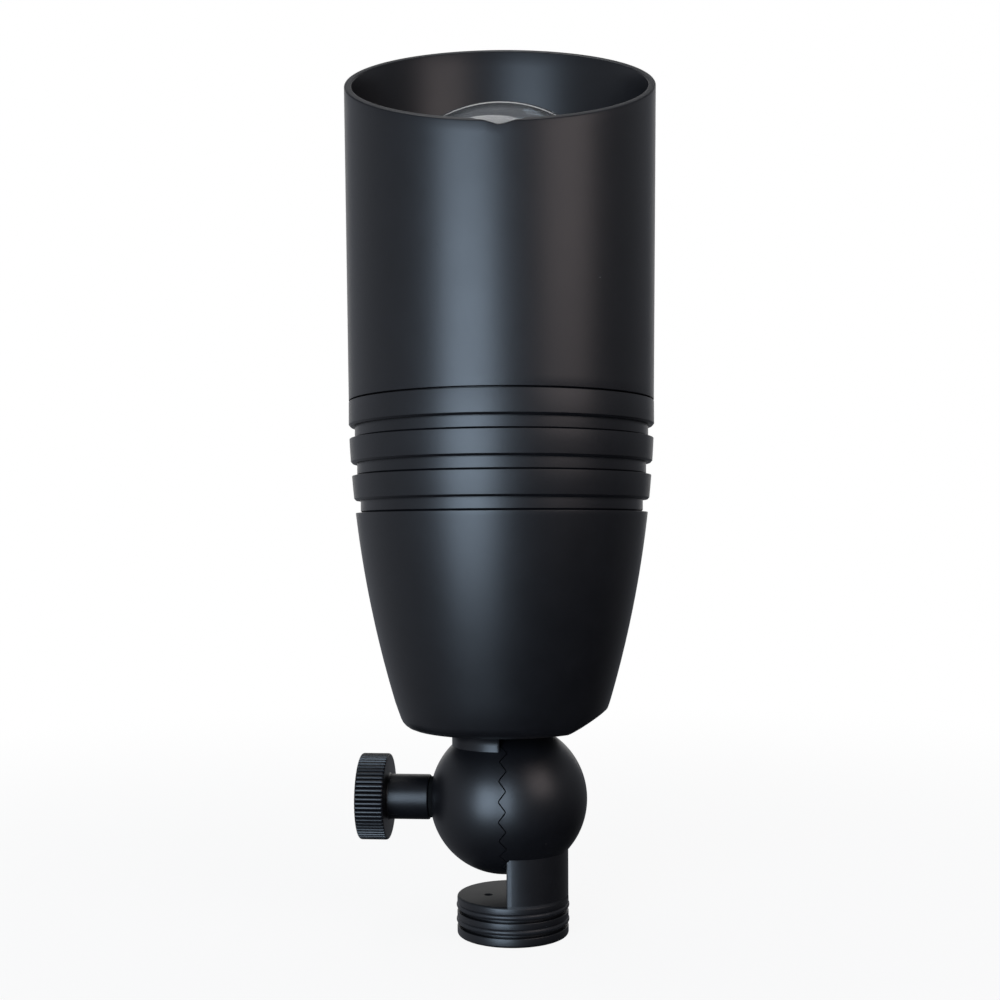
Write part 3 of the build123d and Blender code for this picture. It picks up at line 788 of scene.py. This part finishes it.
# Driver and light engine
# A driver board on posts, an aluminium spreader plate that closes the cup, and a white board
# with one square emitter on a heat pad. Screws hold the plate and the board down.
circuit_board = plain_finish("circuit_board", (0.012, 0.075, 0.030), (0.018, 0.100, 0.042), 2.0, 0.35)
component = plain_finish("component_black", (0.016, 0.016, 0.017), (0.030, 0.030, 0.031), 1.0, 0.42)
plate = plain_finish("plate_aluminium", (0.62, 0.62, 0.63), (0.72, 0.72, 0.72), 1.5, 0.32, 1.0)
pad = plain_finish("pad_grey", (0.26, 0.27, 0.29), (0.32, 0.33, 0.35), 1.2, 0.65)
white_board = plain_finish("board_white", (0.74, 0.74, 0.73), (0.80, 0.80, 0.79), 2.0, 0.38)
phosphor = plain_finish("phosphor", (0.82, 0.62, 0.12), (0.88, 0.70, 0.18), 1.0, 0.45)
coat_node(circuit_board, "driver_board")
coat_node(component, "driver_parts")
coat_node(plate, "heat_spreader", "driver_posts")
coat_node(pad, "thermal_pad")
coat_node(white_board, "led_board")
coat_node(phosphor, "led_emitter")
coat_node(stainless, "spreader_screws", "led_screws")


# Lens barrel, gasket, lens and retainer
# A black anodised tube carries a domed glass lens on a silicone gasket. A screwed ring with a
# thin lip holds the lens down.
barrel_low, barrel_high = node_box("lens_barrel")
lens_low, lens_high = node_box("lens")
gasket_low, gasket_high = node_box("lens_gasket")
retainer_low, retainer_high = node_box("lens_retainer")
head_axis = (head_x, 0, 0)
barrel_bore_r = 24.3
lens_r = lens_high[1]
lens_seat_r = lens_r + 0.15
barrel_edge = 0.3
seat_edge = 0.15
gasket_bore_r = lens_r - 0.7
gasket_edge = 0.1
glass_edge = 0.2
lens_flange_z = 154.0
dome_base_r = 24.1
dome_apex_r = 27.3
retainer_skirt_z = 154.03
retainer_skirt_r = 28.2
retainer_bore_r = barrel_high[1] + 0.03
lip_bore_r = 24.35
skirt_edge, shoulder_edge = 0.3, 0.2
lip_outer_edge, lip_inner_edge, lip_under_edge = 0.4, 0.5, 0.1

anodised = plain_finish("black_anodised", (0.012, 0.012, 0.013), (0.020, 0.020, 0.022), 0.8, 0.36)
silicone = plain_finish("silicone", (0.30, 0.31, 0.32), (0.38, 0.39, 0.40), 1.5, 0.50)
barrel_corners = [
    (barrel_bore_r, barrel_low[2], 0),
    (barrel_high[1], barrel_low[2], barrel_edge),
    (barrel_high[1], barrel_high[2], seat_edge),
    (lens_seat_r, barrel_high[2], seat_edge),
    (lens_seat_r, gasket_low[2], 0),
    (barrel_bore_r, gasket_low[2], seat_edge),
]
barrel = turned("lens_barrel_tube", rounded(barrel_corners), anodised, head_axis)
dressed(barrel, anodised, "head", "black_anodised", "lens_barrel")
gasket_corners = [
    (gasket_bore_r, gasket_low[2], gasket_edge),
    (lens_r, gasket_low[2], gasket_edge),
    (lens_r, gasket_high[2], gasket_edge),
    (gasket_bore_r, gasket_high[2], gasket_edge),
]
gasket = turned("lens_gasket_ring", rounded(gasket_corners, 2), silicone, head_axis)
dressed(gasket, silicone, "head", "silicone", "lens_gasket")

dome_h = lens_high[2] - lens_flange_z
dome_conic = (2 * dome_apex_r * dome_h - dome_base_r**2) / dome_h**2
dome_drops = dome_h * np.linspace(1, 0, 40)[1:] ** 2
lens_outline = np.concatenate((
    rounded([
        (0, lens_low[2], 0),
        (lens_r, lens_low[2], glass_edge),
        (lens_r, lens_flange_z, glass_edge),
        (dome_base_r, lens_flange_z, 0),
    ]),
    [
        (sqrt(drop * (2 * dome_apex_r - dome_conic * drop)), lens_high[2] - drop)
        for drop in dome_drops
    ],
))
lens_glass, glass = new_finish("lens_glass")
film = noise(glass, 8.0, 3.0)
shown(glass, glass.node(
    "ShaderNodeBsdfPrincipled",
    values={
        "Base Color": (0.98, 0.97, 0.94, 1),
        "Roughness": 0.06 + 0.03 * film,
        "Transmission Weight": 0.955,
        "IOR": 1.49,
    },
))
lens = turned("lens_dome", lens_outline, lens_glass, head_axis, ring=False)
dressed(lens, lens_glass, "head", "lens_glass", "lens")

retainer_corners = [
    (retainer_bore_r, retainer_low[2], 0),
    (retainer_skirt_r, retainer_low[2], skirt_edge),
    (retainer_skirt_r, retainer_skirt_z, 0),
    (retainer_high[1], retainer_skirt_z, shoulder_edge),
    (retainer_high[1], retainer_high[2], lip_outer_edge),
    (lip_bore_r, retainer_high[2], lip_inner_edge),
    (lip_bore_r, retainer_skirt_z, lip_under_edge),
    (retainer_bore_r, retainer_skirt_z, 0),
]
retainer = turned("lens_retainer_ring", rounded(retainer_corners), anodised, head_axis)
dressed(retainer, anodised, "head", "black_anodised", "lens_retainer")


# Cowl
# A thin spun tube that flares a little to its mouth, cut at a rake, with a small drain notch in
# its low lip. It turns on the housing's spigot over a seal, and is coated as the castings are.
cowl_low, cowl_high = node_box("cowl")
cowl_wall = 1.5
cowl_mouth_r = 32.05
cowl_ease = 0.01
rake = tan(radians(29))
rim_edge = 0.32
foot_edge = 0.10
foot_z = cowl_low[2] + 0.08
notch_depth = 0.62
notch_half_w = 5.2
notch_flat = 0.2
notch_slope = 0.36
notch_round = 0.5
cowl_columns = 720
lip_turn = radians(4.9)
cowl_h = cowl_high[2] - cowl_low[2]
flare = (cowl_mouth_r - band_r) / cowl_h
spin = np.linspace(0, 2 * pi, cowl_columns, endpoint=False)


def rim_z(inset):
    """The rim's height round the cowl, inset from its outer wall: raked, with the notch cut in."""
    lean = rake * np.sin(spin)
    foot = band_r - inset
    level = cowl_high[2] - rake * cowl_mouth_r
    raked = (level + lean * (foot - flare * cowl_low[2])) / (1 - lean * flare)
    x = (foot + flare * (raked - cowl_low[2])) * np.cos(spin)
    lip_z = (level - rake * (band_r - flare * cowl_low[2])) / (1 + rake * flare)
    off = np.maximum(np.abs(x) - notch_flat, 0)
    notch = lip_z - notch_depth + notch_slope * (np.sqrt(off**2 + notch_round**2) - notch_round)
    in_notch = (np.sin(spin) < 0) & (np.abs(x) < notch_half_w)
    return np.where(in_notch, np.minimum(raked, notch), raked)


def cowl_row(inset, z):
    """A row of points round the cowl, inset from its outer wall, at the heights z."""
    radius = band_r - cowl_ease - inset + flare * (z - cowl_low[2])
    x, y = radius * np.cos(spin + lip_turn), radius * np.sin(spin + lip_turn)
    return np.stack((head_x + x, y, 0 * spin + z), -1)


quarter = np.radians(np.linspace(0, 90, 5))
cowl_rows = [
    cowl_row(foot_edge * (1 - sin(t)), foot_z + foot_edge * (1 - cos(t)) + 0 * spin)
    for t in quarter
]
outer_top, inner_top = rim_z(0) - rim_edge, rim_z(cowl_wall) - rim_edge
foot_top = foot_z + foot_edge
cowl_rows += [
    cowl_row(0, foot_top + part * (outer_top - foot_top)) for part in np.linspace(0, 1, 26)[1:-1]
]
for t in quarter:
    inset = rim_edge * (1 - cos(t))
    cowl_rows.append(cowl_row(inset, rim_z(inset) - rim_edge * (1 - sin(t))))
for t in quarter[::-1]:
    inset = cowl_wall - rim_edge * (1 - cos(t))
    cowl_rows.append(cowl_row(inset, rim_z(inset) - rim_edge * (1 - sin(t))))
cowl_rows += [
    cowl_row(cowl_wall, inner_top + part * (foot_z - inner_top))
    for part in np.linspace(0, 1, 26)[1:]
]
cowl = new_piece(
    "cowl_tube", grid_mesh("cowl_tube", np.array(cowl_rows), closed_rows=True, closed_columns=True)
)
close_up(cowl)
dressed(cowl, black_coat, "cowl", "black_coat", "cowl")


# Floor, light and camera
# A white floor and a white sheet behind the part, in a dim room that is darkest low on the right
# and in a band above the part. A tall cool softbox stands on the left and a smaller warm one on
# the right, and a small one hangs above.
def eased(wire, value, start, end, first, last):
    """Goes smoothly from first to last while value goes from start to end."""
    return wire.node(
        "ShaderNodeMapRange",
        {"interpolation_type": "SMOOTHSTEP"},
        {"Value": value, 1: start, 2: end, 3: first, 4: last},
    )


shadow_near, shadow_far = 60.0, 400.0
near_share = 0.9
studio_white, sweep = new_finish("studio_white")
spread = sweep.node(
    "ShaderNodeVectorMath",
    {"operation": "LENGTH"},
    {0: sweep.node("ShaderNodeTexCoord", output="Object")},
    output="Value",
)
far_off = eased(sweep, spread, shadow_near * mm, shadow_far * mm, near_share, 1.0)
rays = [
    sweep.node("ShaderNodeLightPath", output=ray)
    for ray in ("Is Camera Ray", "Is Glossy Ray", "Is Transmission Ray")
]
shown(sweep, sweep.node(
    "ShaderNodeMixShader",
    values={
        0: far_off * sweep.math("MINIMUM", rays[0] + rays[1] + rays[2], 1.0),
        1: sweep.node("ShaderNodeBsdfDiffuse", values={"Color": (0.92, 0.92, 0.92, 1)}),
        2: sweep.node("ShaderNodeEmission", values={"Color": (1, 1, 1, 1), "Strength": 1.0}),
    },
))
eye_turn = radians(5.25)
towards_eye = Vector((sin(eye_turn), -cos(eye_turn), 0))
aside = Vector((cos(eye_turn), sin(eye_turn), 0))
up = Vector((0, 0, 1))


def studio_sheet(name, corner, across, along):
    """A white sheet from one corner and its two sides, in millimetres."""
    edge = [corner, corner + across]
    points = np.array([[point, point + along] for point in edge])
    sheet = new_piece(name, grid_mesh(name, points))
    sheet.data.materials.append(studio_white)
    return sheet


floor_w, floor_l = 2600.0, 3600.0
sheet_distance, sheet_h = 2500.0, 2000.0
floor_drop = 0.05
front_left = towards_eye * (floor_l - sheet_distance) - aside * floor_w / 2 - up * floor_drop
back_left = front_left - towards_eye * floor_l
floor = studio_sheet("studio_floor", front_left, aside * floor_w, -towards_eye * floor_l)
floor.visible_shadow = floor.visible_glossy = False
studio_sheet("studio_backdrop", back_left, aside * floor_w, up * sheet_h)

world = bpy.data.worlds.new("studio")
bpy.context.scene.world = world
world.use_nodes = True
world.node_tree.nodes.clear()
sky = Wire(world.node_tree)
lean = sky.node(
    "ShaderNodeVectorMath",
    {"operation": "DOT_PRODUCT"},
    {0: sky.node("ShaderNodeTexCoord", output="Object"), 1: up * 2.0 - aside * 0.85},
    output="Value",
)
rise = sky.node(
    "ShaderNodeSeparateXYZ",
    values={"Vector": sky.node("ShaderNodeTexCoord", output="Object")},
    output="Z",
)
open_side = sky.node("ShaderNodeMapRange", values={"Value": lean, 1: -1.5, 2: 0.6, 3: 0.02, 4: 0.44})
below_roof = eased(sky, rise, 0.36, 0.64, 1.0, 0.1)
overhead = eased(sky, rise, 0.70, 0.90, 0.0, 0.9)
room = sky.node(
    "ShaderNodeBackground",
    values={"Color": (0.86, 0.90, 1.0, 1), "Strength": open_side * (below_roof + overhead)},
)
sky.node("ShaderNodeOutputWorld", values={"Surface": room})

eye_distance = 282.3
eye_z = 81.2
eye_aside = -0.4
eye = Vector((head_x, 0, eye_z)) + towards_eye * eye_distance + aside * eye_aside


def round_the_head(turn_deg, distance, z):
    """A place at the height z, turned right of the camera about the head."""
    turn = eye_turn + radians(turn_deg)
    return Vector((head_x + distance * sin(turn), -distance * cos(turn), z))


def softbox(name, place, turn, width, height, colour, power):
    """A soft lamp at a place in millimetres, turned from facing straight down."""
    lamp = bpy.data.lights.new(name, "AREA")
    lamp.shape = "RECTANGLE"
    lamp.size, lamp.size_y = width * mm, height * mm
    lamp.color, lamp.energy = colour, power
    obj = bpy.data.objects.new(name, lamp)
    bpy.context.scene.collection.objects.link(obj)
    obj.location = place * mm
    obj.rotation_euler = turn


lamp_aim = Vector((head_x, 0, 75))
left_place = round_the_head(-23.5, 1000, 100)
right_place = round_the_head(47, 500, 289)
left_turn = (left_place - lamp_aim).to_track_quat("Z", "Y").to_euler()
right_turn = (right_place - lamp_aim).to_track_quat("Z", "Y").to_euler()
top_place = Vector((-63, 63, 620))
top_turn = (0, 0, radians(-15.5))
softbox("left_softbox", left_place, left_turn, 640, 740, (0.63, 0.80, 1.0), 13.6)
softbox("right_softbox", right_place, right_turn, 330, 327, (1.0, 0.87, 0.86), 0.76)
softbox("top_softbox", top_place, top_turn, 250, 180, (1.0, 1.0, 1.0), 0.36)

camera_data = bpy.data.cameras.new("photo_camera")
camera_data.sensor_width = 36.0
camera_data.lens = 49.5
camera_data.shift_y = 0.0365
camera_data.clip_start, camera_data.clip_end = 0.01, 20.0
camera = bpy.data.objects.new("photo_camera", camera_data)
bpy.context.scene.collection.objects.link(camera)
roll = radians(-0.27)
camera.matrix_world = (
    Matrix.Translation(eye * mm)
    @ Matrix.Rotation(eye_turn, 4, "Z")
    @ Matrix.Rotation(pi / 2, 4, "X")
    @ Matrix.Rotation(roll, 4, "Z")
)
bpy.context.scene.camera = camera
bpy.context.scene.view_settings.view_transform = "Standard"
